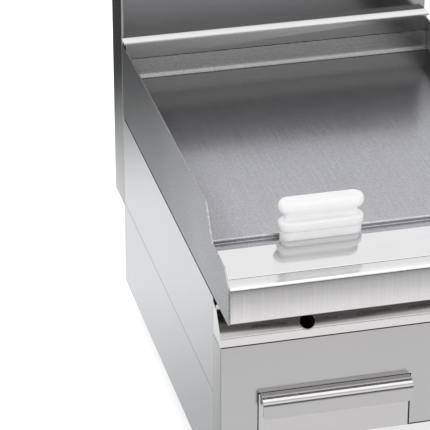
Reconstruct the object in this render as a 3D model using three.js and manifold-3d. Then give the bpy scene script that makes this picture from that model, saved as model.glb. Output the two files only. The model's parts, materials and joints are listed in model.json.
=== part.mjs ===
// Counter-top gas griddle with a smooth steel plate, a front grease trough with a lift-out drain
// plug, a grease drawer, and a flue column at the back.
// Units are millimetres. +X is to the operator's right, -Y faces the operator and +Z is up.
// The origin is the middle of the footprint, on the worktop that the feet stand on.

import * as THREE from "three";
import { mergeVertices } from "three/addons/utils/BufferGeometryUtils.js";
import Module from "manifold-3d";

// ---------------------------------------------------------------- driving dimensions

const WIDTH = 400;
const DEPTH = 604;
const HEIGHT = 480;

const SHEET = 1.5;
const GUARD_SHEET = 2;
const GAP = 0.3;
const BEND = 2.5;

const SIDE = WIDTH / 2;
const FRONT = -DEPTH / 2;
const REAR = DEPTH / 2;

const BODY_Z = 35; // underside of the body, above the feet
const SEAM_Z = 152; // joint between the upper and lower side panels
const APRON_Z = 277; // bottom edge of the apron and of the splash guards
const PLATE_Z = APRON_Z + 59; // cooking surface
const PLATE_THICK = 12;
const TROUGH_DEPTH = 5.4;
const GUARD_TOP_Z = APRON_Z + 99.5;

const PLATE_EDGE_Y = FRONT + 87.3; // where the cooking surface drops into the trough
const TROUGH_WALL_Y = FRONT + 65.7; // back face of the ledge, which closes the trough
const CREASE = { y: FRONT + 22.2, z: APRON_Z + 44.35 };
const PANEL_Y = FRONT + 34; // face of the front panel, set back under the apron
const RETURN_Y = FRONT + 68; // back edge of the front panel's side returns
const SPLASH_Y = FRONT + 530.4;
const COLUMN_Y = FRONT + 547;
const BODY_REAR_Y = FRONT + 550;

const FASCIA_FOOT_Z = APRON_Z - 48.7;
const PANEL_BOTTOM_Z = APRON_Z - 180;
const COLUMN_BOTTOM_Z = APRON_Z - 130;

const PLUG = { x: -75, y: (PLATE_EDGE_Y + TROUGH_WALL_Y) / 2, length: 98.4, width: 24.6 };
const SIGHT = { x: -99.3, y: FRONT + 39.26, z: APRON_Z - 29.77, radius: 10 };
const DRAWER = { left: -156.2, right: 23.1, top: APRON_Z - 113 };
const KNOB = { x: 112, z: 162, radius: 30 };
const IGNITER = { x: 172, z: 162, radius: 8 };

const BURNER_X = [-130, 0, 130];
const BURNER_Z = 262;
const BURNER_RADIUS = 19;
const CHAMBER_FRONT_Y = FRONT + 98;
const CHAMBER_FLOOR_Z = 190;
const CHAMBER_SIDE = SIDE - 20;

const FEET = {
  foot_front_left: [-160, FRONT + 80],
  foot_front_right: [160, FRONT + 80],
  foot_rear_left: [-160, FRONT + 500],
  foot_rear_right: [160, FRONT + 500],
};

// ---------------------------------------------------------------- finishes

const FINISH = {
  brushed: { color: 0xc6c7c9, roughness: 0.34, metalness: 1 },
  polished: { color: 0xe2e3e4, roughness: 0.12, metalness: 1 },
  plate: { color: 0xa9a9ad, roughness: 0.42, metalness: 1 },
  inner: { color: 0x9b9c9e, roughness: 0.5, metalness: 1 },
  cast: { color: 0x3b3a39, roughness: 0.75, metalness: 0.6 },
  brass: { color: 0xb89a55, roughness: 0.35, metalness: 1 },
  zinc: { color: 0xb2b3b0, roughness: 0.45, metalness: 1 },
  fluoropolymer: { color: 0xf6f5f1, roughness: 0.4, metalness: 0 },
  black_plastic: { color: 0x1b1b1c, roughness: 0.45, metalness: 0 },
  ceramic: { color: 0xe9e4d8, roughness: 0.5, metalness: 0 },
};

// ---------------------------------------------------------------- solids

const wasm = await Module();
wasm.setup();

function toSolid(geometry) {
  const bare = geometry.index ? geometry.toNonIndexed() : geometry.clone();
  bare.deleteAttribute("normal");
  bare.deleteAttribute("uv");
  const merged = mergeVertices(bare, 1e-4);
  return new wasm.Manifold(
    new wasm.Mesh({
      numProp: 3,
      vertProperties: merged.attributes.position.array,
      triVerts: new Uint32Array(merged.index.array),
    }),
  );
}

function toGeometry(solid) {
  const mesh = solid.getMesh();
  return new THREE.BufferGeometry()
    .setAttribute("position", new THREE.BufferAttribute(mesh.vertProperties, 3))
    .setIndex(new THREE.BufferAttribute(mesh.triVerts, 1));
}

function cut(body, tools) {
  const solid = tools.reduce((left, tool) => left.subtract(toSolid(tool)), toSolid(body));
  return toGeometry(solid);
}

function join(pieces) {
  const solid = pieces.slice(1).reduce((left, piece) => left.add(toSolid(piece)), toSolid(pieces[0]));
  return toGeometry(solid);
}

function keepInside(body, limit) {
  return toGeometry(toSolid(body).intersect(toSolid(limit)));
}

// ---------------------------------------------------------------- shapes

// A box from its lowest to its highest corner.
function box(low, high) {
  const size = high.map((value, axis) => value - low[axis]);
  const middle = high.map((value, axis) => (value + low[axis]) / 2);
  return new THREE.BoxGeometry(...size).translate(...middle);
}

// Corners given as [a, b] or, where they are rounded, as [a, b, radius].
function roundedPoints(corners, steps = 6) {
  const count = corners.length;
  return corners.flatMap(([a, b, radius], index) => {
    const here = new THREE.Vector2(a, b);
    if (!radius) return [here];
    const [beforeA, beforeB] = corners[(index + count - 1) % count];
    const [afterA, afterB] = corners[(index + 1) % count];
    const back = new THREE.Vector2(beforeA, beforeB).sub(here).normalize();
    const ahead = new THREE.Vector2(afterA, afterB).sub(here).normalize();
    const half = Math.acos(back.dot(ahead)) / 2;
    const reach = radius / Math.tan(half);
    const toCentre = back.clone().add(ahead).setLength(radius / Math.sin(half));
    const centre = here.clone().add(toCentre);
    const start = here.clone().addScaledVector(back, reach).sub(centre).angle();
    const end = here.clone().addScaledVector(ahead, reach).sub(centre).angle();
    const turn = THREE.MathUtils.euclideanModulo(end - start + Math.PI, 2 * Math.PI) - Math.PI;
    return Array.from({ length: steps + 1 }, (_, step) => {
      const angle = start + (turn * step) / steps;
      return new THREE.Vector2(Math.cos(angle), Math.sin(angle)).multiplyScalar(radius).add(centre);
    });
  });
}

// The section of a folded sheet: the corners run along one face and the sheet lies to the left.
function foldedSection(corners, thickness = SHEET, steps = 6) {
  const face = roundedPoints(corners, steps);
  const other = face.map((point, index) => {
    const back = index ? point.clone().sub(face[index - 1]).normalize() : null;
    const ahead = index < face.length - 1 ? face[index + 1].clone().sub(point).normalize() : null;
    const along = (back ?? ahead).clone().add(ahead ?? back).normalize();
    const stretch = thickness / along.dot(ahead ?? back);
    return new THREE.Vector2(-along.y, along.x).multiplyScalar(stretch).add(point);
  });
  return [...face, ...other.reverse()];
}

const BASES = {
  x: [new THREE.Vector3(0, 1, 0), new THREE.Vector3(0, 0, 1), new THREE.Vector3(1, 0, 0)],
  y: [new THREE.Vector3(0, 0, 1), new THREE.Vector3(1, 0, 0), new THREE.Vector3(0, 1, 0)],
  z: [new THREE.Vector3(1, 0, 0), new THREE.Vector3(0, 1, 0), new THREE.Vector3(0, 0, 1)],
};

// An outline swept along an axis. Its points are (y, z) for x, (z, x) for y and (x, y) for z.
function prism(axis, outline, from, to, holes = []) {
  const shape = new THREE.Shape(outline);
  shape.holes = holes.map((hole) => new THREE.Path(hole));
  const geometry = new THREE.ExtrudeGeometry(shape, { depth: to - from, bevelEnabled: false });
  geometry.translate(0, 0, from);
  return geometry.applyMatrix4(new THREE.Matrix4().makeBasis(...BASES[axis]));
}

function rectangle(lowA, lowB, highA, highB, radius = 0, steps = 3) {
  const corners = [
    [lowA, lowB, radius],
    [highA, lowB, radius],
    [highA, highB, radius],
    [lowA, highB, radius],
  ];
  return roundedPoints(corners, steps);
}

function circle(a, b, radius, sides = 24) {
  return Array.from({ length: sides }, (_, side) => {
    const angle = (2 * Math.PI * side) / sides;
    return new THREE.Vector2(a + radius * Math.cos(angle), b + radius * Math.sin(angle));
  });
}

function rod(axis, a, b, radius, from, to, sides = 24) {
  return prism(axis, circle(a, b, radius, sides), from, to);
}

// A turned piece: the profile is [radius, distance along the axis], closed on the axis or on itself.
function turned(profile, sides = 32) {
  return new THREE.LatheGeometry(profile.map(([radius, along]) => new THREE.Vector2(radius, along)), sides);
}

// Turned about +Z, and turned about -Y so that its distances run towards the operator.
const uprightTurned = (profile, sides) => turned(profile, sides).rotateX(Math.PI / 2);
const forwardTurned = (profile, sides) => turned(profile, sides).rotateX(Math.PI);

// An oblong ring at one height, straight along X with round ends.
function oblongRing(centreX, centreY, z, length, width, endSteps = 10) {
  const radius = width / 2;
  const straight = length / 2 - radius;
  return [1, -1].flatMap((end) =>
    Array.from({ length: endSteps + 1 }, (_, step) => {
      const angle = (end > 0 ? -Math.PI / 2 : Math.PI / 2) + (Math.PI * step) / endSteps;
      const x = centreX + end * straight + radius * Math.cos(angle);
      return new THREE.Vector3(x, centreY + radius * Math.sin(angle), z);
    }),
  );
}

// A solid skinned over rings that rise from the first to the last, with flat ends.
function loft(rings) {
  const count = rings[0].length;
  const cap = THREE.ShapeUtils.triangulateShape(rings[0].map(({ x, y }) => new THREE.Vector2(x, y)), []);
  const last = (rings.length - 1) * count;
  const faces = cap.flatMap(([a, b, c]) => [c, b, a, last + a, last + b, last + c]);
  for (let ring = 0; ring < rings.length - 1; ring += 1) {
    for (let side = 0; side < count; side += 1) {
      const a = ring * count + side;
      const b = ring * count + ((side + 1) % count);
      faces.push(a, b, b + count, a, b + count, a + count);
    }
  }
  return new THREE.BufferGeometry().setFromPoints(rings.flat()).setIndex(faces);
}

// A round tube along a smooth route.
function bentRod(points, radius, steps, sides = 12) {
  const path = new THREE.CatmullRomCurve3(points.map((point) => new THREE.Vector3(...point)), false, "centripetal");
  const section = new THREE.Shape(circle(0, 0, radius, sides));
  return new THREE.ExtrudeGeometry(section, { extrudePath: path, steps, bevelEnabled: false });
}

// ---------------------------------------------------------------- the assembly

const griddle = new THREE.Group();

function add(name, geometry, finish) {
  const mesh = new THREE.Mesh(geometry, new THREE.MeshStandardMaterial(FINISH[finish]));
  mesh.name = name;
  griddle.add(mesh);
}

const SIDES = { left: -1, right: 1 };

// A span along X that starts at the given distance from the middle on one side.
function spanX(side, inner, outer) {
  return side < 0 ? [-outer, -inner] : [inner, outer];
}

function forEachSide(build) {
  Object.entries(SIDES).forEach(([name, side]) => build(name, side));
}

// ---------------------------------------------------------------- cooking top

const plateInset = SIDE - GUARD_SHEET - GAP;
const troughFloorZ = PLATE_Z - TROUGH_DEPTH;
const plateUnderZ = PLATE_Z - PLATE_THICK;

function buildPlate() {
  const section = roundedPoints([
    [TROUGH_WALL_Y + GAP, plateUnderZ],
    [COLUMN_Y - 6, plateUnderZ],
    [COLUMN_Y - 6, PLATE_Z],
    [PLATE_EDGE_Y, PLATE_Z, 2.6],
    [PLATE_EDGE_Y, troughFloorZ, 0.8],
    [TROUGH_WALL_Y + GAP, troughFloorZ],
  ]);
  const slot = loft([
    oblongRing(PLUG.x, PLUG.y, plateUnderZ - 1, 86, 14),
    oblongRing(PLUG.x, PLUG.y, troughFloorZ + 1, 86, 14),
  ]);
  add("griddle_plate", cut(prism("x", section, -plateInset, plateInset), [slot]), "plate");
}

// The plug's outline shrinks by `inset` at each height above the trough floor.
function buildPlug() {
  const base = [
    { height: GAP, inset: 2.2 },
    { height: 14.5, inset: 2.2 },
    { height: 14.9, inset: 2.8 },
    { height: 15.3, inset: 1.8 },
  ];
  const bulge = (middle, below, above, depth, steps) =>
    Array.from({ length: steps + 1 }, (_, step) => {
      const angle = -Math.PI / 2 + (Math.PI * step) / steps;
      const reach = angle < 0 ? below : above;
      return { height: middle + reach * Math.sin(angle), inset: depth * (1 - Math.cos(angle)) };
    });
  const lowerFlange = bulge(22.4, 7.2, 6.6, 2.4, 8).slice(1, 6);
  const neck = Array.from({ length: 7 }, (_, step) => {
    const angle = (Math.PI * step) / 6;
    return { height: 32.8 - 5.6 * Math.cos(angle), inset: 2 + 5.4 * Math.sin(angle) };
  });
  const topFlange = bulge(43.6, 4.4, 7.5, 4.4, 14).slice(4);
  const stem = [
    { height: -21, inset: 8.4 },
    { height: -19, inset: 6.6 },
    { height: GAP - 0.001, inset: 6.6 },
  ];
  const rings = [...stem, ...base, ...lowerFlange, ...neck, ...topFlange].map(({ height, inset }) =>
    oblongRing(PLUG.x, PLUG.y, troughFloorZ + height, PLUG.length - 2 * inset, PLUG.width - 2 * inset),
  );
  add("drain_plug", loft(rings), "fluoropolymer");
}

// A funnel under the drain slot that narrows to a round spout over the grease drawer.
function buildDrainChute() {
  const wall = 1.2;
  const spoutX = PLUG.x + 5;
  const sections = [
    { z: 170, x: spoutX, length: 30, width: 30 },
    { z: 282, x: spoutX, length: 30, width: 30 },
    { z: 306, x: PLUG.x, length: 92, width: 19.4 },
    { z: plateUnderZ - GAP, x: PLUG.x, length: 92, width: 19.4 },
  ];
  const ring = ({ z, x, length, width }, shrink, lift) =>
    oblongRing(x, PLUG.y, z + lift, length - 2 * shrink + 0.02, width - 2 * shrink);
  const outside = loft(sections.map((section) => ring(section, 0, 0)));
  const bore = loft(
    sections.map((section, index) => ring(section, wall, index === 0 ? -1 : index === 3 ? 1 : 0)),
  );
  add("drain_chute", cut(outside, [bore]), "inner");
}

function buildSplashGuards() {
  const outline = roundedPoints([
    [FRONT, APRON_Z, 1],
    [COLUMN_Y - GAP, APRON_Z],
    [COLUMN_Y - GAP, GUARD_TOP_Z],
    [FRONT + 104.5, GUARD_TOP_Z, 7],
    [FRONT + 76, APRON_Z + 62, 8],
    [FRONT + 20, APRON_Z + 60.2, 9],
    [FRONT, APRON_Z + 44.5, 3],
  ]);
  forEachSide((name, side) => {
    const [from, to] = spanX(side, SIDE - GUARD_SHEET, SIDE);
    add(`${name}_splash_guard`, prism("x", outline, from, to), "brushed");
  });
}

function buildFrontLedge() {
  const section = foldedSection([
    [TROUGH_WALL_Y, APRON_Z + 40],
    [TROUGH_WALL_Y, APRON_Z + 59.4, 2],
    [CREASE.y + 0.6, CREASE.z + 0.16, 0.6],
    [CREASE.y + 0.6, APRON_Z + 36],
  ]);
  add("front_ledge", prism("x", section, -plateInset, plateInset), "polished");
}

function buildApron() {
  const flangeDepth = 14;
  const section = foldedSection([
    [CREASE.y - 0.6, APRON_Z + 36],
    [CREASE.y - 0.6, CREASE.z + 0.3, 0.6],
    [FRONT + 0.8, APRON_Z + 44.7, 3.4],
    [FRONT, APRON_Z + 36.5, 50],
    [FRONT, APRON_Z, BEND],
    [FRONT + flangeDepth, APRON_Z],
  ]);
  const slots = Array.from({ length: 6 }, (_, index) => {
    const middle = -133 + 62 * index;
    const outline = rectangle(middle - 21, FRONT + 4.5, middle + 21, FRONT + 10.5, 2.9);
    return prism("z", outline, APRON_Z - 2, APRON_Z + 4);
  });
  add("front_apron", cut(prism("x", section, -plateInset, plateInset), slots), "brushed");
}

function buildRearSplash() {
  const section = foldedSection(
    [
      [SPLASH_Y, APRON_Z + 84.6],
      [SPLASH_Y, PLATE_Z + GAP + 1.2],
      [SPLASH_Y - 5.4, PLATE_Z + GAP + 1.2],
    ],
    1.2,
  );
  add("rear_splash", prism("x", section, -plateInset, plateInset), "brushed");
}

function buildPlateRails() {
  forEachSide((name, side) => {
    const [from, to] = spanX(side, SIDE - 4.4, SIDE - GUARD_SHEET - GAP);
    const low = [from, FRONT + 70, APRON_Z - 40];
    const high = [to, COLUMN_Y - 12, plateUnderZ - GAP];
    add(`plate_rail_${name}`, box(low, high), "inner");
  });
}

// ---------------------------------------------------------------- flue column

function buildColumn() {
  const outer = SIDE;
  const plan = foldedSection([
    [-outer, REAR],
    [-outer, COLUMN_Y, BEND],
    [outer, COLUMN_Y, BEND],
    [outer, REAR],
  ]);
  const topZ = HEIGHT - SHEET - GAP;
  const flueWindow = box([-150, COLUMN_Y - 5, 205], [150, COLUMN_Y + 5, 300]);
  add("backguard_shell", cut(prism("z", plan, COLUMN_BOTTOM_Z, topZ), [flueWindow]), "brushed");

  const inner = SIDE - SHEET - GAP;
  const coverTop = topZ - GAP;
  const rearCover = box([-inner, REAR - SHEET, COLUMN_BOTTOM_Z], [inner, REAR, coverTop]);
  add("backguard_rear_cover", rearCover, "brushed");

  const slots = Array.from({ length: 6 }, (_, index) => {
    const middle = -150 + 60 * index;
    return rectangle(middle - 21, COLUMN_Y + 22, middle + 21, COLUMN_Y + 34, 5.5).reverse();
  });
  const capOutline = rectangle(-SIDE, COLUMN_Y, SIDE, REAR, 2);
  add("flue_cover", prism("z", capOutline, HEIGHT - SHEET, HEIGHT, slots), "brushed");

  const bottomLow = [-inner, BODY_REAR_Y + GAP, COLUMN_BOTTOM_Z];
  const bottomHigh = [inner, REAR - SHEET - GAP, COLUMN_BOTTOM_Z + SHEET];
  add("column_bottom_cover", box(bottomLow, bottomHigh), "inner");
}

function buildBackguardLedge() {
  const lipY = FRONT + 530;
  const section = foldedSection([
    [COLUMN_Y - GAP, APRON_Z + 107.6],
    [lipY, APRON_Z + 107.6, 2],
    [lipY, APRON_Z + 85.8],
  ]);
  const full = prism("x", section, -SIDE, SIDE);
  const notches = [-1, 1].map((side) => {
    const [from, to] = spanX(side, plateInset, SIDE + 1);
    return box([from, lipY - 1, APRON_Z + 80], [to, COLUMN_Y, APRON_Z + 104.6]);
  });
  add("backguard_ledge", cut(full, notches), "brushed");
}

// ---------------------------------------------------------------- casing

function buildSidePanels() {
  forEachSide((name, side) => {
    const [from, to] = spanX(side, SIDE - SHEET, SIDE);
    const upperLow = [from, RETURN_Y + 0.5, SEAM_Z + 0.4];
    const upperHigh = [to, COLUMN_Y - 0.5, APRON_Z - 2.6];
    add(`${name}_upper_panel`, box(upperLow, upperHigh), "brushed");
    const lowerLow = [from, RETURN_Y + 0.5, BODY_Z];
    const lowerHigh = [to, COLUMN_Y - 0.5, SEAM_Z - 0.4];
    const lower = box(lowerLow, lowerHigh);
    const tailLow = [from, COLUMN_Y - 0.6, BODY_Z];
    const tailHigh = [to, BODY_REAR_Y, COLUMN_BOTTOM_Z - GAP];
    add(`${name}_lower_panel`, join([lower, box(tailLow, tailHigh)]), "brushed");
  });
}

function buildFascia() {
  const bendZ = APRON_Z - 36.6;
  const top = { y: FRONT + 54.5, z: APRON_Z - 10 };
  const upstandTop = APRON_Z + 50;
  const sheet = foldedSection([
    [top.y, upstandTop],
    [top.y, top.z, BEND],
    [PANEL_Y, bendZ, 2.4],
    [PANEL_Y, FASCIA_FOOT_Z, 1.6],
    [PANEL_Y + 10, FASCIA_FOOT_Z],
  ]);
  const lap = 0.7; // the end plates lap the folded sheet by about half its thickness
  const end = roundedPoints([
    [PANEL_Y + lap, FASCIA_FOOT_Z + lap],
    [RETURN_Y, FASCIA_FOOT_Z + lap],
    [RETURN_Y, APRON_Z - 7.4],
    [top.y + lap, top.z - lap],
    [PANEL_Y + lap, bendZ],
  ]);
  const pieces = [prism("x", sheet, -SIDE, SIDE)];
  forEachSide((name, side) => {
    const [from, to] = spanX(side, SIDE - SHEET, SIDE);
    pieces.push(prism("x", end, from, to));
  });
  const guardReliefs = Object.values(SIDES).map((side) => {
    const [from, to] = spanX(side, plateInset, SIDE + 1);
    return box([from, top.y - 5, APRON_Z - 4], [to, top.y + 5, upstandTop + 5]);
  });
  const tilt = -Math.atan2(top.y - PANEL_Y, top.z - bendZ);
  const drill = new THREE.CylinderGeometry(SIGHT.radius, SIGHT.radius, 11, 32)
    .rotateX(tilt)
    .translate(SIGHT.x, SIGHT.y, SIGHT.z);
  add("front_fascia", cut(join(pieces), [drill, ...guardReliefs]), "brushed");

  const ring = turned(
    [
      [SIGHT.radius - 1, -0.4],
      [SIGHT.radius - GAP, -0.4],
      [SIGHT.radius - GAP, 2.6],
      [SIGHT.radius - 1, 2.6],
      [SIGHT.radius - 1, -0.4],
    ],
    32,
  );
  ring.rotateX(tilt).translate(SIGHT.x, SIGHT.y, SIGHT.z);
  add("sight_ring", ring, "brushed");
}

function buildFrontPanel() {
  const topZ = FASCIA_FOOT_Z - 0.5;
  const plan = foldedSection([
    [-SIDE, RETURN_Y],
    [-SIDE, PANEL_Y, BEND],
    [SIDE, PANEL_Y, BEND],
    [SIDE, RETURN_Y],
  ]);
  const shell = prism("z", plan, PANEL_BOTTOM_Z, topZ);
  const flange = box([-SIDE + 1, PANEL_Y + 1, topZ - SHEET], [SIDE - 1, PANEL_Y + 10, topZ]);
  const play = { left: 0.9, right: 0.4, top: 0.5 };
  const notch = box(
    [DRAWER.left - play.left, PANEL_Y - 5, PANEL_BOTTOM_Z - 5],
    [DRAWER.right + play.right, PANEL_Y + 5, DRAWER.top + play.top],
  );
  const stemHole = rod("y", KNOB.z, KNOB.x, 7, PANEL_Y - 5, PANEL_Y + 5);
  const buttonHole = rod("y", IGNITER.z, IGNITER.x, 9.5, PANEL_Y - 5, PANEL_Y + 5);
  add("front_panel", cut(join([shell, flange]), [notch, stemHole, buttonHole]), "brushed");
}

function buildLowerRail() {
  const topZ = PANEL_BOTTOM_Z - 2.2;
  const plan = foldedSection([
    [-SIDE, RETURN_Y],
    [-SIDE, PANEL_Y + 1, BEND],
    [SIDE, PANEL_Y + 1, BEND],
    [SIDE, RETURN_Y],
  ]);
  const shell = prism("z", plan, BODY_Z, topZ);
  const shelf = box([-SIDE + 1, PANEL_Y + 2, topZ - SHEET], [SIDE - 1, PANEL_Y + 24, topZ]);
  add("lower_front_rail", join([shell, shelf]), "brushed");
}

function buildBase() {
  const inner = SIDE - SHEET - GAP;
  const pan = prism(
    "y",
    foldedSection([
      [BODY_Z + 16, inner],
      [BODY_Z, inner, BEND],
      [BODY_Z, -inner, BEND],
      [BODY_Z + 16, -inner],
    ]),
    PANEL_Y + 4,
    BODY_REAR_Y - SHEET - GAP,
  );
  const studHoles = Object.values(FEET).map(([x, y]) => rod("z", x, y, 4.6, BODY_Z - 1, BODY_Z + 5, 16));
  add("base_pan", cut(pan, studHoles), "inner");

  const rearLow = [-inner, BODY_REAR_Y - SHEET, BODY_Z];
  const rearHigh = [inner, BODY_REAR_Y, COLUMN_BOTTOM_Z - GAP];
  const gasHole = rod("y", 96, 150, 14, BODY_REAR_Y - 5, BODY_REAR_Y + 5);
  add("rear_panel", cut(box(rearLow, rearHigh), [gasHole]), "brushed");
}

function buildFeet() {
  const profile = [
    [0, 0],
    [17, 0],
    [19, 1.6],
    [19, 8],
    [17.5, 10],
    [12, 12.5],
    [12, 30.5],
    [10.5, 32],
    [10.5, BODY_Z - GAP],
    [4, BODY_Z - GAP],
    [4, BODY_Z + 26],
    [3, BODY_Z + 27],
    [0, BODY_Z + 27],
  ];
  Object.entries(FEET).forEach(([name, [x, y]]) => {
    add(name, uprightTurned(profile, 20).translate(x, y, 0), "zinc");
  });
}

// ---------------------------------------------------------------- grease drawer

function buildDrawer() {
  const { left, right, top } = DRAWER;
  const frontY = PANEL_Y;
  const bottomZ = PANEL_BOTTOM_Z - 1.6;
  const faceTop = top - SHEET - GAP;
  const plan = foldedSection([
    [left, frontY + 13],
    [left, frontY, BEND],
    [right, frontY, BEND],
    [right, frontY + 13],
  ]);
  add("drawer_front", prism("z", plan, bottomZ, faceTop), "brushed");

  const lip = foldedSection(
    [
      [frontY + 12, top],
      [FRONT + 17, top, 10.5],
      [FRONT + 17, top - 25.5],
    ],
    SHEET,
    10,
  );
  const lipInset = 1.6;
  const lipOutline = rectangle(top - 25.5, left + lipInset, top + 20, right - lipInset, 4);
  const lipLimit = prism("y", lipOutline, FRONT, frontY + 20);
  add("drawer_handle", keepInside(prism("x", lip, left, right), lipLimit), "brushed");

  const trayLeft = left + 8;
  const trayRight = right - 8;
  const trayFront = frontY + SHEET + GAP;
  const trayRear = trayFront + 384;
  const floorZ = bottomZ + 4;
  const rimZ = 152;
  const shell = prism("z", rectangle(trayLeft, trayFront, trayRight, trayRear, 6), floorZ, rimZ);
  const hollow = prism(
    "z",
    rectangle(trayLeft + SHEET, trayFront + SHEET, trayRight - SHEET, trayRear - SHEET, 4.5),
    floorZ + SHEET,
    rimZ + 5,
  );
  const wings = [
    box([trayLeft - 5.6, trayFront + 20, rimZ - SHEET], [trayLeft + 1, trayRear - 10, rimZ]),
    box([trayRight - 1, trayFront + 20, rimZ - SHEET], [trayRight + 5.6, trayRear - 10, rimZ]),
  ];
  add("drawer_tray", cut(join([shell, ...wings]), [hollow]), "inner");

  const ledgeZ = rimZ - SHEET - GAP;
  const guides = {
    drawer_guide_left: foldedSection([
      [trayLeft - 7.4, CHAMBER_FLOOR_Z - GAP],
      [trayLeft - 7.4, ledgeZ - SHEET, 2],
      [trayLeft - 1, ledgeZ - SHEET],
    ]),
    drawer_guide_right: foldedSection([
      [trayRight + 1, ledgeZ - SHEET],
      [trayRight + 7.4, ledgeZ - SHEET, 2],
      [trayRight + 7.4, CHAMBER_FLOOR_Z - GAP],
    ]),
  };
  Object.entries(guides).forEach(([name, section]) => {
    const swapped = section.map(({ x, y }) => new THREE.Vector2(y, x)).reverse();
    add(name, prism("y", swapped, frontY + 20, frontY + 400), "inner");
  });
}

// ---------------------------------------------------------------- burner chamber

function buildChamber() {
  forEachSide((name, side) => {
    const [from, to] = spanX(side, CHAMBER_SIDE - 8, CHAMBER_SIDE);
    const low = [from, CHAMBER_FRONT_Y + SHEET + GAP, CHAMBER_FLOOR_Z + SHEET + GAP];
    const high = [to, COLUMN_Y - 7, plateUnderZ - 2];
    add(`chamber_side_${name}`, box(low, high), "inner");
  });
  const floorHalf = SIDE - SHEET - 1;
  const slots = Array.from({ length: 4 }, (_, index) => {
    const y = -130 + 90 * index;
    return rectangle(60, y - 8, 150, y + 8, 7).reverse();
  });
  const floor = rectangle(-floorHalf, CHAMBER_FRONT_Y, floorHalf, COLUMN_Y - 2);
  add("chamber_floor", prism("z", floor, CHAMBER_FLOOR_Z, CHAMBER_FLOOR_Z + SHEET, slots), "inner");

  const frontHoles = BURNER_X.map((x) => circle(BURNER_Z, x, 18).reverse());
  const window = circle(SIGHT.z, SIGHT.x, 9).reverse();
  const frontOutline = rectangle(
    CHAMBER_FLOOR_Z + SHEET + GAP,
    -CHAMBER_SIDE,
    plateUnderZ - 2,
    CHAMBER_SIDE,
  );
  const wall = prism("y", frontOutline, CHAMBER_FRONT_Y, CHAMBER_FRONT_Y + SHEET, [...frontHoles, window]);
  add("chamber_front", wall, "inner");
}

function buildBurners() {
  const mouthY = CHAMBER_FRONT_Y - 6;
  const length = 400;
  const profile = [
    [14, 0],
    [16, 0],
    [12, 16],
    [12, 40],
    [BURNER_RADIUS, 62],
    [BURNER_RADIUS, length],
    [0, length],
    [0, length - 2],
    [BURNER_RADIUS - 2, length - 2],
    [BURNER_RADIUS - 2, 63],
    [10, 41],
    [10, 16],
    [14, 0],
  ];
  BURNER_X.forEach((x, index) => {
    const tube = turned(profile, 20).translate(x, mouthY, BURNER_Z);
    const ports = Array.from({ length: 8 }, (_, port) => {
      const y = mouthY + 90 + port * 38;
      return box([x - 30, y - 9, BURNER_Z + 7], [x + 30, y + 9, BURNER_Z + 9.5]);
    });
    add(`burner_tube_${index + 1}`, cut(tube, ports), "cast");
  });
  const rails = { burner_rail_front: CHAMBER_FRONT_Y + 70, burner_rail_rear: CHAMBER_FRONT_Y + 370 };
  Object.entries(rails).forEach(([name, y]) => {
    const half = CHAMBER_SIDE - 8 - GAP;
    const plate = box([-half, y, BURNER_Z - 44], [half, y + 2, BURNER_Z - 4]);
    const saddles = BURNER_X.map((x) => rod("y", BURNER_Z, x, BURNER_RADIUS + GAP, y - 5, y + 7));
    add(name, cut(plate, saddles), "inner");
  });
}

function buildPilot() {
  const bracketLow = [-109, CHAMBER_FRONT_Y + SHEET + GAP, 240];
  const bracketHigh = [-84, CHAMBER_FRONT_Y + 20, 241.5];
  const y = CHAMBER_FRONT_Y + 12;
  const holes = [rod("z", -95, y, 2.8, 235, 245, 12), rod("z", -88.5, y, 3.8, 235, 245, 12)];
  const nozzle = rod("z", -103, y, 4, 241, 254, 16);
  add("pilot_burner", join([cut(box(bracketLow, bracketHigh), holes), nozzle]), "brass");
  add("thermocouple", rod("z", -95, y, 2.5, 226, 262, 12), "zinc");
  add("spark_electrode", rod("z", -88.5, y, 3.5, 230, 256, 12), "ceramic");
}

// ---------------------------------------------------------------- gas train and controls

const MANIFOLD = { y: FRONT + 50, z: 208, radius: 7 };
const VALVE = { front: PANEL_Y + 28, rear: PANEL_Y + 78, half: 14 };

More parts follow.
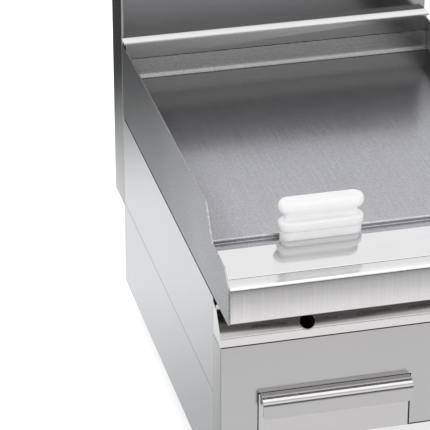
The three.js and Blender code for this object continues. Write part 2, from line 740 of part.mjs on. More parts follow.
function buildGasTrain() {
  add("gas_manifold", rod("x", MANIFOLD.y, MANIFOLD.z, MANIFOLD.radius, -144, 150, 16), "zinc");
  BURNER_X.forEach((x, index) => {
    const foot = MANIFOLD.z + MANIFOLD.radius + GAP;
    const route = [
      [x, MANIFOLD.y, foot],
      [x, MANIFOLD.y + 2, foot + 14],
      [x, MANIFOLD.y + 12, BURNER_Z - 14],
      [x, MANIFOLD.y + 24, BURNER_Z],
      [x, MANIFOLD.y + 36, BURNER_Z],
    ];
    add(`injector_elbow_${index + 1}`, bentRod(route, 4.5, 12), "brass");
  });

  const { x, z } = KNOB;
  const block = box([x - VALVE.half, VALVE.front, z - VALVE.half], [x + VALVE.half, VALVE.rear, z + VALVE.half]);
  const nose = rod("y", z, x, 10, PANEL_Y + 14, VALVE.front + 1);
  const bore = rod("y", z, x, 6.4, PANEL_Y + 10, VALVE.front + 26);
  add("gas_valve", cut(join([block, nose]), [bore]), "brass");

  const supplyRoute = [
    [x, VALVE.front + 18, z + VALVE.half + GAP],
    [x, VALVE.front + 18, z + VALVE.half + 14],
    [x, VALVE.front + 8, MANIFOLD.z - 3],
    [x, MANIFOLD.y + MANIFOLD.radius + 0.8, MANIFOLD.z],
  ];
  add("supply_pipe", bentRod(supplyRoute, 4, 12), "zinc");

  const inlet = { x: 150, z: 96 };
  const inletRoute = [
    [x, VALVE.rear + GAP, z],
    [x, VALVE.rear + 30, z],
    [x + 24, VALVE.rear + 90, z - 44],
    [inlet.x, VALVE.rear + 150, inlet.z],
    [inlet.x, BODY_REAR_Y - 60, inlet.z],
    [inlet.x, BODY_REAR_Y - 4, inlet.z],
  ];
  add("gas_inlet_pipe", bentRod(inletRoute, 7, 24), "zinc");

  const fitting = join([
    rod("y", inlet.z, inlet.x, 13, BODY_REAR_Y - 3.6, BODY_REAR_Y + 1),
    rod("y", inlet.z, inlet.x, 17, BODY_REAR_Y + GAP, BODY_REAR_Y + 9, 6),
    rod("y", inlet.z, inlet.x, 10.5, BODY_REAR_Y + 8, BODY_REAR_Y + 28),
  ]);
  const fittingBore = rod("y", inlet.z, inlet.x, 7.5, BODY_REAR_Y - 5, BODY_REAR_Y + 30);
  add("gas_inlet_fitting", cut(fitting, [fittingBore]), "brass");
}

function buildKnob() {
  const { x, z, radius } = KNOB;
  const pushTravel = 5;
  const plug = { front: VALVE.front + 2, rear: VALVE.front + 24 };
  const stem = { front: PANEL_Y - 18, rear: VALVE.front + 10 };
  const plugBore = rod("y", z, x, 3.6, plug.front - 2, stem.rear + pushTravel + 1);
  add("valve_plug", cut(rod("y", z, x, 6, plug.front, plug.rear), [plugBore]), "brass");
  add("knob_stem", rod("y", z, x, 3, stem.front, stem.rear, 16), "zinc");

  const skirtRear = PANEL_Y - 7.5;
  const profile = [
    [0, 0],
    [radius, 0],
    [radius, 3],
    [radius - 2, 5],
    [radius - 6, 6.5],
    [radius - 7, 18],
    [radius - 9, 20],
    [0, 20],
  ];
  const grip = box([x - 6, skirtRear - 25, z - 21], [x + 6, skirtRear - 19, z + 21]);
  const body = forwardTurned(profile, 36).translate(x, skirtRear, z);
  const socket = rod("y", z, x, 3.3, stem.front - GAP, skirtRear + 2, 16);
  add("control_knob", cut(join([body, grip]), [socket]), "black_plastic");

  const bezelHole = [circle(z, x, 8).reverse()];
  const bezel = prism("y", circle(z, x, radius + 4, 40), PANEL_Y - 1.3, PANEL_Y - GAP, bezelHole);
  add("knob_bezel", bezel, "brushed");
}

function buildIgniter() {
  const { x, z, radius } = IGNITER;
  const barrel = join([
    rod("y", z, x, radius + 4, PANEL_Y - 2.6, PANEL_Y - GAP),
    rod("y", z, x, radius + 1.2, PANEL_Y - 1, PANEL_Y + 44),
  ]);
  const bore = rod("y", z, x, radius + GAP, PANEL_Y - 5, PANEL_Y + 22);
  add("igniter_body", cut(barrel, [bore]), "black_plastic");
  const profile = [
    [0, 0],
    [radius, 0],
    [radius, 19],
    [radius - 1, 20.5],
    [0, 21],
  ];
  add("igniter_button", forwardTurned(profile, 28).translate(x, PANEL_Y + 15, z), "black_plastic");
}

buildPlate();
buildPlug();
buildDrainChute();
buildSplashGuards();
buildFrontLedge();
buildApron();
buildRearSplash();
buildPlateRails();
buildColumn();
buildBackguardLedge();
buildSidePanels();
buildFascia();
buildFrontPanel();
buildLowerRail();
buildBase();
buildFeet();
buildDrawer();
buildChamber();
buildBurners();
buildPilot();
buildGasTrain();
buildKnob();
buildIgniter();

export default griddle;
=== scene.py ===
"""Looks of a counter-top flat top griddle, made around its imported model.

Metres, +X to the operator's right, -Y towards the operator, +Z up, the origin on the worktop.
"""

import json
import math

import bmesh
import bpy
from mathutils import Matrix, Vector


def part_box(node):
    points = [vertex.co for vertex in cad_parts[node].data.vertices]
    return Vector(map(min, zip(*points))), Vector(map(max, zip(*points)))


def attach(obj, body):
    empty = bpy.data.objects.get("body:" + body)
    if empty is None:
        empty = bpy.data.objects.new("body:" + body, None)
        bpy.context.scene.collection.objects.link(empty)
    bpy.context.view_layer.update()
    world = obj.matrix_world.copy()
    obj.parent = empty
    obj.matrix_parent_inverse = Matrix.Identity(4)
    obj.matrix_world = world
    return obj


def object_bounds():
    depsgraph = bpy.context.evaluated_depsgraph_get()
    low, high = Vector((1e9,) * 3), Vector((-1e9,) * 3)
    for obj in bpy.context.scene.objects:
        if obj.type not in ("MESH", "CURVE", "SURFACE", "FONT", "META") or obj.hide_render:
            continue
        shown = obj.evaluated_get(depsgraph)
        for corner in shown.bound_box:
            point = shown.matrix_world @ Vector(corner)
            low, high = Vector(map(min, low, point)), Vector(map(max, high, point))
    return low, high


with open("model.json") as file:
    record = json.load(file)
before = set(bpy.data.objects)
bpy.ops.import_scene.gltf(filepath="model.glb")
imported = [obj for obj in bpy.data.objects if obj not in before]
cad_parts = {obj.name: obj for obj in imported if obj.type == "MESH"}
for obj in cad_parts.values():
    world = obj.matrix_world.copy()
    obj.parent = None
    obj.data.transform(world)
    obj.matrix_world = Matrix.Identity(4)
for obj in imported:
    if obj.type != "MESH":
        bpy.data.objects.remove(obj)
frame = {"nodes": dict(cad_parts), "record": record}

CAD_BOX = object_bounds()
NODES = frame["nodes"]
ROOT = "griddle_body"

# ------------------------------------------------------------------ node materials


class Paint:
    """A node material under construction, in the object's own metres."""

    def __init__(self, name, **constants):
        self.attach(bpy.data.materials.new(name))
        for socket, value in constants.items():
            self.surface.inputs[socket.replace("_", " ")].default_value = value

    @classmethod
    def again(cls, material):
        """The same, on a material that is already painted."""
        paint = cls.__new__(cls)
        paint.attach(material)
        return paint

    def attach(self, material):
        self.material = material
        self.material.use_nodes = True
        self.tree = self.material.node_tree
        self.surface = self.tree.nodes["Principled BSDF"]
        self.place = self.node("ShaderNodeTexCoord").outputs["Object"]

    def node(self, kind, links=None, **settings):
        made = self.tree.nodes.new(kind)
        for setting, value in settings.items():
            setattr(made, setting, value)
        for socket, value in (links or {}).items():
            self.feed(made.inputs[socket], value)
        return made

    def feed(self, socket, value):
        if isinstance(value, bpy.types.NodeSocket):
            self.tree.links.new(value, socket)
        else:
            socket.default_value = value

    def stretched(self, per_metre):
        """The place, scaled along each axis, so that a noise on it is as fine as the scale is large."""
        return self.node("ShaderNodeMapping", {"Vector": self.place, "Scale": per_metre}).outputs[0]

    def noise(self, per_metre, detail=3.0, roughness=0.55, distortion=0.0):
        links = {
            "Vector": self.stretched(per_metre),
            "Scale": 1.0,
            "Detail": detail,
            "Roughness": roughness,
            "Distortion": distortion,
        }
        return self.node("ShaderNodeTexNoise", links).outputs["Fac"]

    def spread(self, value, low, high, from_low=0.3, from_high=0.7):
        links = {
            "Value": value,
            "From Min": from_low,
            "From Max": from_high,
            "To Min": low,
            "To Max": high,
        }
        return self.node("ShaderNodeMapRange", links).outputs[0]

    def math(self, operation, a, b):
        return self.node("ShaderNodeMath", {0: a, 1: b}, operation=operation).outputs[0]

    def tint(self, factor, low, high):
        made = self.node("ShaderNodeMix", {0: factor}, data_type="RGBA")
        self.feed(made.inputs[6], (*low, 1.0))
        self.feed(made.inputs[7], (*high, 1.0))
        return made.outputs[2]

    def colour(self, value):
        self.feed(self.surface.inputs["Base Color"], value)

    def roughness(self, value):
        self.feed(self.surface.inputs["Roughness"], value)

    def facing(self, low, high):
        """0 to 1 as the surface turns from `low` to `high` on its normal's height."""
        normal = self.node("ShaderNodeNewGeometry").outputs["Normal"]
        height = self.node("ShaderNodeSeparateXYZ", {0: normal}).outputs["Z"]
        return self.spread(height, 0.0, 1.0, low, high)

    def ease_edges(self, radius):
        eased = self.node("ShaderNodeBevel", {"Radius": radius}, samples=4).outputs[0]
        self.feed(self.surface.inputs["Normal"], eased)

    def bump(self, height, distance, strength=1.0):
        """Raises the surface by height times distance, on top of the bumps it has already."""
        links = {"Height": height, "Distance": distance, "Strength": strength}
        earlier = self.surface.inputs["Normal"].links
        if earlier:
            links["Normal"] = earlier[0].from_socket
        self.feed(self.surface.inputs["Normal"], self.node("ShaderNodeBump", links).outputs[0])


GRAINS = {"x": (9, 1400, 1400), "y": (1400, 9, 1400), "z": (1400, 1400, 9)}
SCRATCHES = {"x": (14, 420, 420), "y": (420, 14, 420), "z": (420, 420, 14)}


def scaled(colour, factor):
    return tuple(min(1.0, channel * factor) for channel in colour)


def brushed_steel(
    name, colour, grain, roughness, streak=0.06, mottle=0.04, mottle_scale=60, depth=2e-6, edge=3e-4
):
    """Sheet steel with a grain along one axis, light scratches, a cloudy sheen, smears and eased edges."""
    paint = Paint(name, Metallic=1.0)
    fine = paint.noise(GRAINS[grain], detail=2.0)
    scratch = paint.noise(SCRATCHES[grain], detail=4.0, roughness=0.7)
    cloud = paint.noise((mottle_scale,) * 3, detail=4.0, roughness=0.6)
    smear = paint.noise((7, 7, 7), detail=2.0)
    lines = paint.math("ADD", paint.math("MULTIPLY", fine, streak), paint.math("MULTIPLY", scratch, streak))
    mixed = paint.math("ADD", lines, paint.math("MULTIPLY", cloud, mottle))
    span = 2 * streak + mottle
    shade = paint.spread(mixed, 0.0, 1.0, 0.25 * span, 0.75 * span)
    paint.colour(paint.tint(shade, scaled(colour, 1 - span / 2), scaled(colour, 1 + span / 2)))
    base = paint.spread(scratch, roughness * 0.88, roughness * 1.12)
    paint.roughness(paint.math("ADD", base, paint.spread(smear, -0.015, 0.02)))
    paint.ease_edges(edge)
    paint.bump(fine, depth)
    paint.bump(cloud, depth * 6, 0.5)
    return paint.material


def recolour_facing(paint, low, high, colour, metallic):
    """Blends to another colour and metalness as the surface turns from `low` to `high`."""
    factor = paint.facing(low, high)
    base = paint.surface.inputs["Base Color"]
    made = paint.node("ShaderNodeMix", {0: factor}, data_type="RGBA")
    paint.feed(made.inputs[6], base.links[0].from_socket)
    paint.feed(made.inputs[7], (*colour, 1.0))
    paint.feed(base, made.outputs[2])
    paint.feed(paint.surface.inputs["Metallic"], paint.spread(factor, 1.0, metallic, 0.0, 1.0))


def painted_shade_underneath(material, colour, metallic):
    """Paints shade on the faces that look down: they turn to a dark, less metallic colour."""
    recolour_facing(Paint.again(material), -0.3, -0.7, colour, metallic)
    return material


def painted_shade_on_top(material, colour):
    """Paints shade on the faces that look up: they turn to a darker colour."""
    recolour_facing(Paint.again(material), 0.3, 0.7, colour, 1.0)
    return material


def sloped_sheen(material, slope):
    """Tilts the sheen as if the surface rose by `slope` towards the back: sheet that isn't pressed level."""
    paint = Paint.again(material)
    depth = paint.node("ShaderNodeSeparateXYZ", {0: paint.place}).outputs["Y"]
    paint.bump(paint.math("MULTIPLY", depth, slope), 1.0)
    return material


def painted_shade_along(material, *ramps):
    """Darkens the colour from place to place, in ramps along the axes, as painted shade: on the plate
    towards the back and out by the guards, on the guards towards the back.
    """
    paint = Paint.again(material)
    parts = paint.node("ShaderNodeSeparateXYZ", {0: paint.place})
    base = paint.surface.inputs["Base Color"]
    for axis, start, end, near, far in ramps:
        place = parts.outputs[axis.strip("|")]
        if "|" in axis:
            place = paint.math("ABSOLUTE", place, 0.0)
        links = {"Value": place, "From Min": start, "From Max": end, "To Min": near, "To Max": far}
        factor = paint.node("ShaderNodeMapRange", links, interpolation_type="SMOOTHSTEP").outputs[0]
        made = paint.node("ShaderNodeMix", {0: 1.0}, data_type="RGBA", blend_type="MULTIPLY")
        paint.feed(made.inputs[6], base.links[0].from_socket)
        paint.feed(made.inputs[7], factor)
        paint.feed(base, made.outputs[2])
    return material


def white_polymer():
    colour = (0.87, 0.867, 0.86)
    paint = Paint("white_polymer", Subsurface_Weight=0.12, Subsurface_Scale=0.004, Specular_IOR_Level=0.4)
    paint.surface.inputs["Subsurface Radius"].default_value = (1.0, 0.9, 0.8)
    cloud = paint.noise((45, 45, 45), detail=3.0)
    turning = paint.noise((30, 30, 2600), detail=1.0)
    paint.colour(paint.tint(paint.spread(cloud, 0, 1), scaled(colour, 0.97), colour))
    paint.roughness(paint.spread(cloud, 0.34, 0.46))
    paint.bump(turning, 8e-6, 0.6)
    return paint.material


def cast_iron():
    colour = (0.05, 0.048, 0.046)
    paint = Paint("burner_iron", Metallic=0.6)
    grit = paint.noise((900, 900, 900), detail=5.0)
    bloom = paint.noise((30, 30, 30), detail=4.0)
    paint.colour(paint.tint(paint.spread(bloom, 0, 1), colour, (0.14, 0.085, 0.06)))
    paint.roughness(paint.spread(grit, 0.6, 0.85))
    paint.bump(grit, 6e-5)
    return paint.material


def turned_metal(name, colour, tarnish, roughness):
    """Turned or plated metal, with soft stains and fine machining marks."""
    paint = Paint(name, Metallic=1.0)
    stain = paint.noise((55, 55, 55), detail=4.0)
    marks = paint.noise((700, 700, 2200), detail=2.0)
    paint.colour(paint.tint(paint.spread(stain, 0, 1), colour, tarnish))
    paint.roughness(paint.spread(stain, roughness, roughness + 0.16))
    paint.bump(marks, 1.2e-5)
    return paint.material


def ceramic():
    paint = Paint("white_ceramic", Specular_IOR_Level=0.5)
    speck = paint.noise((400, 400, 400), detail=4.0)
    paint.colour(paint.tint(paint.spread(speck, 0, 1), (0.85, 0.83, 0.78), (0.76, 0.73, 0.67)))
    paint.roughness(paint.spread(speck, 0.35, 0.55))
    paint.bump(speck, 1.5e-5)
    return paint.material


def black_plastic():
    paint = Paint("black_plastic", Specular_IOR_Level=0.45)
    grit = paint.noise((1900, 1900, 1900), detail=2.0)
    wear = paint.noise((60, 60, 60), detail=4.0)
    paint.colour(paint.tint(paint.spread(wear, 0, 1), (0.018, 0.018, 0.019), (0.032, 0.032, 0.034)))
    paint.roughness(paint.spread(wear, 0.36, 0.5))
    paint.bump(grit, 2.5e-5)
    return paint.material


def print_white():
    paint = Paint("printed_marks")
    worn = paint.noise((500, 500, 500), detail=3.0)
    paint.colour(paint.tint(paint.spread(worn, 0, 1), (0.8, 0.8, 0.78), (0.62, 0.62, 0.6)))
    paint.roughness(paint.spread(worn, 0.45, 0.6))
    return paint.material


# All the sheet steel is one stainless, but its base colour is set part by part, from 0.37 on the column and
# guards to 0.95 on the splash: painted light and shade, lighter and darker copies of the one metal.
FINISHES = {
    # painted shade on the plate: darker towards the back and out towards the guards
    "plate": painted_shade_along(
        brushed_steel("plate_steel", (0.385, 0.389, 0.406), "y", 0.20, 0.14, 0.30, 380, 3e-6),
        ("Y", -0.06, 0.10, 1.0, 0.82), ("Y", -0.02, 0.18, 1.0, 0.20), ("|X|", 0.14, 0.20, 1.0, 0.76),
    ),
    # painted shade on the guards: darker towards the back
    "guard": painted_shade_along(
        brushed_steel("guard_steel", (0.37, 0.373, 0.378), "z", 0.40, 0.16, 0.85, 420, 5e-6),
        ("Y", -0.22, 0.12, 1.0, 0.56),
    ),
    # painted shade: the splash's faces that look up are painted darker
    "splash": painted_shade_on_top(
        brushed_steel("splash_steel", (0.95, 0.945, 0.95), "x", 0.26, 0.02, 0.03, 30, 1e-6, 1.5e-4),
        (0.30, 0.298, 0.30),
    ),
    # painted shade: the ledge's faces that look up are painted darker
    "ledge": sloped_sheen(
        painted_shade_on_top(
            brushed_steel("backguard_ledge_steel", (0.76, 0.755, 0.76), "x", 0.20, 0.02, 0.03, 30, 1e-6),
            (0.47, 0.466, 0.468),
        ),
        0.62,
    ),
    "polished": sloped_sheen(
        brushed_steel("polished_steel", (0.66, 0.66, 0.665), "x", 0.10, 0.02, 0.02, 30, 5e-7, 1.5e-4), -0.08
    ),
    "rail": brushed_steel("rail_steel", (0.82, 0.82, 0.82), "x", 0.12, 0.02, 0.02, 30, 5e-7),
    # painted shade: the apron's faces that look down are painted nearly black and less metallic, for the
    # dark line under its nose
    "apron": painted_shade_underneath(
        brushed_steel("apron_steel", (0.745, 0.74, 0.735), "z", 0.18, 0.07, 0.01, 30, 6e-7, 2e-4),
        (0.06, 0.056, 0.052), 0.4,
    ),
    "fascia": brushed_steel("fascia_steel", (0.72, 0.71, 0.695), "x", 0.10, 0.02, 0.02, 30, 6e-7),
    "front": brushed_steel("front_steel", (0.485, 0.482, 0.48), "x", 0.16, 0.012, 0.012, 18, 4e-7),
    "drawer": brushed_steel("drawer_steel", (0.56, 0.555, 0.56), "x", 0.16, 0.012, 0.012, 18, 4e-7),
    "handle": brushed_steel("handle_steel", (0.50, 0.497, 0.497), "x", 0.14, 0.012, 0.012, 18, 4e-7, 2e-4),
    "column": brushed_steel("column_steel", (0.37, 0.37, 0.374), "z", 0.16, 0.012, 0.02, 14, 6e-7),
    "side": brushed_steel("side_steel", (0.54, 0.545, 0.555), "z", 0.22, 0.015, 0.02, 14, 6e-7),
    "inner": brushed_steel("inner_steel", (0.50, 0.50, 0.51), "x", 0.36, 0.06, 0.10, 50),
    "polymer": white_polymer(),
    "iron": cast_iron(),
    "zinc": turned_metal("turned_steel", (0.60, 0.60, 0.59), (0.48, 0.48, 0.46), 0.28),
    "brass": turned_metal("turned_brass", (0.66, 0.52, 0.27), (0.5, 0.38, 0.19), 0.24),
    "ceramic": ceramic(),
    "black": black_plastic(),
    "print": print_white(),
}

NODE_FINISH = {
    "plate": ["griddle_plate"],
    "guard": ["left_splash_guard", "right_splash_guard"],
    "splash": ["rear_splash"],
    "ledge": ["backguard_ledge"],
    "polished": ["front_ledge"],
    "rail": ["lower_front_rail"],
    "apron": ["front_apron"],
    "fascia": ["front_fascia", "sight_ring"],
    "front": ["front_panel", "knob_bezel"],
    "drawer": ["drawer_front"],
    "handle": ["drawer_handle"],
    "column": ["backguard_shell", "backguard_rear_cover", "flue_cover"],
    "side": ["left_upper_panel", "left_lower_panel", "right_upper_panel", "right_lower_panel", "rear_panel"],
}
SLOT_FINISH = {
    "steel_inner": "inner",
    "foot_metal": "zinc",
    "burner_iron": "iron",
    "brass": "brass",
    "white_ceramic": "ceramic",
    "black_plastic": "black",
    "white_plug": "polymer",
}


def finish_nodes():
    """Every CAD node gets its procedural finish."""
    chosen = {node: finish for finish, nodes in NODE_FINISH.items() for node in nodes}
    for subpart in frame["record"]["subparts"]:
        node = subpart["node"]
        finish = chosen.get(node) or SLOT_FINISH[subpart["material_slot"]]
        slots = NODES[node].material_slots
        for index in range(len(slots)):
            slots[index].material = FINISHES[finish]


def smoothing_group():
    """Joins a node's loose faces and shades them smooth, but for its true edges. No vertex moves."""
    group = bpy.data.node_groups.new("smooth_bends", "GeometryNodeTree")
    group.interface.new_socket("Geometry", in_out="INPUT", socket_type="NodeSocketGeometry")
    group.interface.new_socket("Geometry", in_out="OUTPUT", socket_type="NodeSocketGeometry")
    nodes, links = group.nodes, group.links
    start, end = nodes.new("NodeGroupInput"), nodes.new("NodeGroupOutput")
    plain = nodes.new("GeometryNodeRemoveAttribute")
    plain.inputs["Name"].default_value = "custom_normal"
    merge = nodes.new("GeometryNodeMergeByDistance")
    merge.inputs["Distance"].default_value = 1e-6
    angle = nodes.new("GeometryNodeInputMeshEdgeAngle")
    soft = nodes.new("FunctionNodeCompare")
    soft.data_type = "FLOAT"
    soft.operation = "LESS_THAN"
    soft.inputs[1].default_value = math.radians(32)
    faces = nodes.new("GeometryNodeSetShadeSmooth")
    edges = nodes.new("GeometryNodeSetShadeSmooth")
    edges.domain = "EDGE"
    links.new(start.outputs[0], plain.inputs[0])
    links.new(plain.outputs[0], merge.inputs["Geometry"])
    links.new(merge.outputs[0], faces.inputs["Geometry"])
    links.new(faces.outputs[0], edges.inputs["Geometry"])
    links.new(angle.outputs["Unsigned Angle"], soft.inputs[0])
    links.new(soft.outputs[0], edges.inputs["Shade Smooth"])
    links.new(edges.outputs[0], end.inputs[0])
    return group


def smooth_nodes():
    group = smoothing_group()
    for node in NODES.values():
        node.modifiers.new("smooth_bends", "NODES").node_group = group


finish_nodes()
smooth_nodes()

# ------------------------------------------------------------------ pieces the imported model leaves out


def add_piece(name, made, finish, body):
    """Turns a bmesh into an object with a finish, which rides a body."""
    bmesh.ops.recalc_face_normals(made, faces=made.faces)
    mesh = bpy.data.meshes.new(name)
    made.to_mesh(mesh)
    made.free()
    mesh.materials.append(FINISHES[finish])
    piece = bpy.data.objects.new(name, mesh)
    bpy.context.scene.collection.objects.link(piece)
    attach(piece, body)
    return piece


def skin(rings, closed):
    """A bmesh skinned over equal rings of points, with its first and last rings capped if it is closed."""
    made = bmesh.new()
    rows = [[made.verts.new(point) for point in ring] for ring in rings]
    count = len(rings[0])
    for lower, upper in zip(rows, rows[1:]):
        for side in range(count):
            after = (side + 1) % count
            made.faces.new((lower[side], lower[after], upper[after], upper[side]))
    if closed:
        made.faces.new(rows[0][::-1])
        made.faces.new(rows[-1])
    return made


ACROSS = Vector((1, 0, 0))
BACKWARDS = Vector((0, 1, 0))
UP = Vector((0, 0, 1))


def upright_ring(centre, radii):
    """A ring about an axis that runs front to back, with one radius for each of its points."""
    ring = []
    for side, radius in enumerate(radii):
        turn = 2 * math.pi * side / len(radii)
        ring.append(centre + radius * (math.cos(turn) * ACROSS + math.sin(turn) * UP))
    return ring


def screw_head(seat):
    """A low domed head with a cross recess, its seat just below the sheet's face."""
    radius, rise, sink = 0.0042, 0.0019, 0.0003
    flat_rim, curve = 0.35, 0.55  # the rim's height, and how far the dome falls to it, over its rise
    cross_width, cross_reach, cross_depth = 0.0011, 0.0024, 0.0011
    sides, steps = 40, 17
    rings = [upright_ring(seat - sink * BACKWARDS, [radius] * sides)]
    for step in range(steps):
        share = 1 - step / steps
        dome = rise * (1 - curve * share**4 if step else flat_rim)
        ring = []
        for point in upright_ring(seat, [radius * share] * sides):
            offset = point - seat
            near, far = sorted((abs(offset.x), abs(offset.z)))
            recess = max(0.0, 1 - 2 * near / cross_width) if far < cross_reach else 0.0
            ring.append(point + BACKWARDS * (dome - cross_depth * min(1.0, 2 * recess)))
        rings.append(ring)
    return skin(rings, closed=True)


def build_rear_screws():
    """Two rows of three screws that hold the rear panel."""
    low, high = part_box("rear_panel")
    side_margin, end_margin = 0.016, 0.014
    columns = (low.x + side_margin, 0.0, high.x - side_margin)
    rows = (low.z + end_margin, high.z - end_margin)
    seats = [Vector((x, high.y, z)) for z in rows for x in columns]
    for index, seat in enumerate(seats):
        piece = add_piece(f"rear_screw_{index + 1}", screw_head(seat), "zinc", ROOT)
        piece.data.shade_smooth()


def build_gas_thread():
    """The pipe thread of the gas inlet fitting, which runs out at both ends."""
    low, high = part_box("gas_inlet_fitting")
    middle = (low + high) / 2
    length, end_gap = 0.0181, 0.0004
    pitch, root, rise = 0.0018, 0.01055, 0.0007
    sides, rows = 40, 110
    start = high.y - end_gap - length
    rings = []
    for row in range(rows + 1):
        along = length * row / rows
        run_out = min(1.0, 6 * row / rows, 6 * (rows - row) / rows)
        turns = [along / pitch - side / sides for side in range(sides)]
        waves = [0.5 + 0.5 * math.cos(2 * math.pi * turn) for turn in turns]
        radii = [root + rise * wave * run_out for wave in waves]
        rings.append(upright_ring(Vector((middle.x, start + along, middle.z)), radii))
    add_piece("gas_thread", skin(rings, closed=False), "brass", ROOT).data.shade_smooth()


def print_on(name, outlines, y, body, finish):
    """Thin raised shapes on a plane that faces the operator, from outlines of (x, z)."""
    raised, sunk = 0.00012, 0.0001
    made = bmesh.new()
    for outline in outlines:
        front = [made.verts.new((x, y - raised, z)) for x, z in outline]
        back = [made.verts.new((x, y + sunk, z)) for x, z in outline]
        made.faces.new(front)
        made.faces.new(back[::-1])
        for side in range(len(outline)):
            after = (side + 1) % len(outline)
            made.faces.new((front[side], back[side], back[after], front[after]))
    add_piece(name, made, finish, body)


def radial_mark(centre, angle, inner, outer, width):
    """A tapered tick that points away from the centre, its angle clockwise from the top."""
    sine, cosine = math.sin(angle), math.cos(angle)
    corners = ((inner, -0.5), (inner, 0.5), (outer, 0.35), (outer, -0.35))
    return [
        (centre[0] + sine * reach + cosine * width * lean, centre[1] + cosine * reach - sine * width * lean)
        for reach, lean in corners
    ]


def build_dial_marks():
    """Ticks that grow wider round the bezel, anticlockwise from the off dot at the top."""
    low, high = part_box("knob_bezel")
    x, z = (low.x + high.x) / 2, (low.z + high.z) / 2
    rim = (high.x - low.x) / 2
    inner, outer, dot_place, dot_radius = rim - 0.0032, rim - 0.0008, rim - 0.0019, 0.0011
    narrowest, growth = 0.0004, 0.00007
    marks = [
        radial_mark((x, z), math.radians(-15 * step), inner, outer, narrowest + growth * step)
        for step in range(2, 17)
    ]
    turns = [2 * math.pi * side / 20 for side in range(20)]
    dot = [(x + dot_radius * math.cos(turn), z + dot_place + dot_radius * math.sin(turn)) for turn in turns]
    print_on("dial_marks", [*marks, dot], low.y, ROOT, "black")


def build_knob_index():
    """A white line down the upper part of the knob's grip, pointed at its top."""
    low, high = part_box("control_knob")
    x = (low.x + high.x) / 2
    half, length, point = 0.0011, 0.013, 0.0008
    top = high.z - 0.010
    bottom = top - length
    line = [(x - half, bottom), (x + half, bottom), (x + half, top), (x, top + point), (x - half, top)]
    inset = 0.00013  # the print stays just inside the grip's face
    print_on("knob_index", [line], low.y + inset, "knob", "print")


def build_igniter_mark():
    """A small spark over the igniter button: one zigzag, the same turned half round."""
    low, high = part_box("igniter_body")
    x, z = (low.x + high.x) / 2, high.z + 0.008
    half = [(0.0012, 0.0042), (-0.0024, -0.0006), (-0.0003, -0.0006)]
    spark = half + [(-a, -b) for a, b in half]
    panel_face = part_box("front_panel")[0].y
    print_on("igniter_mark", [[(x + a, z + b) for a, b in spark]], panel_face, ROOT, "black")


build_rear_screws()
build_gas_thread()
build_dial_marks()
build_knob_index()
build_igniter_mark()

# ------------------------------------------------------------------ stage, light and camera


def stage_card(name, low, high, material, **hidden_from):
    """A flat rectangle that isn't part of the object."""
    (x0, y0, z0), (x1, y1, z1) = low, high
    if z0 == z1:
        corners = [(x0, y0, z0), (x1, y0, z0), (x1, y1, z0), (x0, y1, z0)]
    else:
        corners = [(x0, y0, z0), (x1, y1, z0), (x1, y1, z1), (x0, y0, z1)]
    mesh = bpy.data.meshes.new(name)
    mesh.from_pydata(corners, [], [(0, 1, 2, 3)])
    card = bpy.data.objects.new(name, mesh)
    card.data.materials.append(material)
    for ray, seen in hidden_from.items():
        setattr(card, "visible_" + ray, seen)
    bpy.context.scene.collection.objects.link(card)
    return card


def floor_material():
    """A pale floor that is lit hard enough to lose its own shading."""
    paint = Paint("pale_floor", Roughness=0.9, Specular_IOR_Level=0.0, Emission_Strength=0.42)
    paint.surface.inputs["Emission Color"].default_value = (1.0, 1.0, 1.0, 1.0)
    cloud = paint.noise((2, 2, 2), detail=2.0)
    paint.colour(paint.tint(cloud, (0.86, 0.86, 0.86), (0.88, 0.88, 0.88)))
    return paint.material


def glow(name, colour, *ramps):
    """A card's glow. Each ramp is (axis, start, end, near, far), and their strengths multiply."""
    material = bpy.data.materials.new(name)
    material.use_nodes = True
    tree = material.node_tree
    tree.nodes.clear()
    parts = tree.nodes.new("ShaderNodeSeparateXYZ")
    tree.links.new(tree.nodes.new("ShaderNodeTexCoord").outputs["Object"], parts.inputs[0])
    emission = tree.nodes.new("ShaderNodeEmission")
    emission.inputs["Color"].default_value = (*colour, 1.0)
    strength = None
    for axis, start, end, near, far in ramps:
        ramp = tree.nodes.new("ShaderNodeMapRange")
        ramp.interpolation_type = "SMOOTHSTEP"
        for socket, value in (("From Min", start), ("From Max", end), ("To Min", near), ("To Max", far)):
            ramp.inputs[socket].default_value = value
        tree.links.new(parts.outputs[axis], ramp.inputs["Value"])
        if strength is None:
            strength = ramp.outputs[0]
        else:
            product = tree.nodes.new("ShaderNodeMath")
            product.operation = "MULTIPLY"
            tree.links.new(strength, product.inputs[0])
            tree.links.new(ramp.outputs[0], product.inputs[1])
            strength = product.outputs[0]
    tree.links.new(strength, emission.inputs["Strength"])
    out = tree.nodes.new("ShaderNodeOutputMaterial")
    tree.links.new(emission.outputs[0], out.inputs["Surface"])
    return material


REFLECTED_ONLY = {"camera": False, "diffuse": False, "shadow": False, "transmission": False}
NEUTRAL = (1.0, 0.988, 0.995)
COOL = (0.975, 0.99, 1.0)
WARM = (1.0, 0.986, 0.985)

FLOOR_HALF = 14.0
FLOOR_DROP = 0.0015  # the floor lies just under the feet
CARD_HALF = 5.0
CARD_Z = 0.0002
SPLIT_Y = -0.36  # where the lit floor in front of the object meets the one beside it
WALL_Y = -3.4
WALL_TOP_Z = 3.4
SOFTBOX_Z = 2.6
SOFTBOX_HALF = 3.0


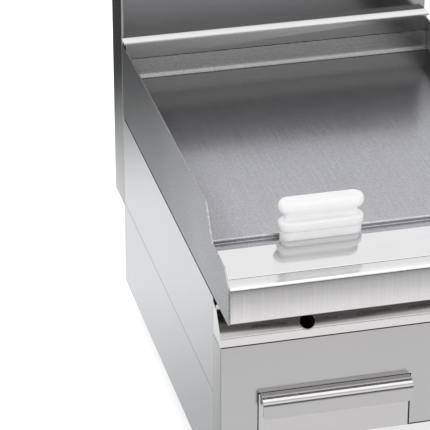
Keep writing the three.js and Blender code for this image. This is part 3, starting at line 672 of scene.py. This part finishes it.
def build_stage():
    """The floor, and the cards that only the metal sees: lit floor around it, a front wall and a softbox."""
    floor_low = (-FLOOR_HALF, -FLOOR_HALF, -FLOOR_DROP)
    floor_high = (FLOOR_HALF, FLOOR_HALF, -FLOOR_DROP)
    stage_card("floor", floor_low, floor_high, floor_material()).visible_glossy = False

    far_back = ("Y", 0.50, 1.0, 1.08, 0.08)
    beside = ("Y", -0.10, 0.35, 0.6, 1.0)
    side_glow = glow("side_floor_glow", COOL, far_back, beside)
    for name, left, right in (("left_floor", -CARD_HALF, 0.0), ("right_floor", 0.0, CARD_HALF)):
        stage_card(name, (left, SPLIT_Y, CARD_Z), (right, CARD_HALF, CARD_Z), side_glow, **REFLECTED_ONLY)

    under_apron = ("Y", -0.86, -0.66, 0.5, 1.0)
    towards_wall = ("Y", -2.4, -1.0, 0.06, 1.0)
    front_glow = glow("front_floor_glow", NEUTRAL, under_apron, towards_wall)
    front_low, front_high = (-CARD_HALF, WALL_Y, CARD_Z), (CARD_HALF, SPLIT_Y, CARD_Z)
    stage_card("front_floor", front_low, front_high, front_glow, **REFLECTED_ONLY)

    above_floor = ("Z", 0.4, 0.9, 0.1, 1.35)
    above_handle_view = ("Z", 1.94, 2.08, 1.0, 0.7)
    above_plate_view = ("Z", 2.7, 3.4, 1.0, 0.45)
    wall_glow = glow("front_flag_glow", WARM, above_floor, above_handle_view, above_plate_view)
    wall_low, wall_high = (-CARD_HALF, WALL_Y, 0.0), (CARD_HALF, WALL_Y, WALL_TOP_Z)
    stage_card("front_flag", wall_low, wall_high, wall_glow, **REFLECTED_ONLY)

    box_glow = glow("overhead_softbox_glow", NEUTRAL, ("Y", 0.2, 0.5, 1.9, 1.22))
    box_low, box_high = (-SOFTBOX_HALF, -2.6, SOFTBOX_Z), (SOFTBOX_HALF, 3.2, SOFTBOX_Z)
    stage_card("overhead_softbox", box_low, box_high, box_glow, **REFLECTED_ONLY)


def build_light():
    world = bpy.data.worlds.new("studio")
    bpy.context.scene.world = world
    world.use_nodes = True
    background = world.node_tree.nodes["Background"]
    background.inputs["Color"].default_value = (0.985, 0.99, 1.0, 1.0)
    background.inputs["Strength"].default_value = 1.0
    sun = bpy.data.lights.new("soft_key", "SUN")
    sun.energy = 0.3
    sun.angle = math.radians(60)
    sun.color = (1.0, 0.985, 0.965)
    lamp = bpy.data.objects.new("soft_key", sun)
    lamp.rotation_euler = (math.radians(-22), math.radians(-14), 0)
    lamp.visible_glossy = False
    bpy.context.scene.collection.objects.link(lamp)
    bpy.context.scene.view_settings.view_transform = "Standard"


def build_camera():
    """The view from the front left, looking down on the plate."""
    azimuth = math.radians(-13.92)
    elevation = math.radians(27.78)
    distance = 2.785
    from_left, from_front = 0.0213, 0.146  # the point on the plate's level that the view is centred on
    left, front = CAD_BOX[0].x, CAD_BOX[0].y
    plate_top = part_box("griddle_plate")[1].z
    target = Vector((left + from_left, front + from_front, plate_top))
    level = math.cos(elevation)
    back = Vector((math.sin(azimuth) * level, -math.cos(azimuth) * level, math.sin(elevation)))
    camera = bpy.data.objects.new("camera", bpy.data.cameras.new("camera"))
    camera.data.sensor_width = 36
    camera.data.lens = 206.7
    camera.data.clip_end = 60
    camera.location = target + back * distance
    camera.rotation_mode = "QUATERNION"
    camera.rotation_quaternion = (-back).to_track_quat("-Z", "Y")
    bpy.context.scene.collection.objects.link(camera)
    bpy.context.scene.camera = camera


build_stage()
build_light()
build_camera()
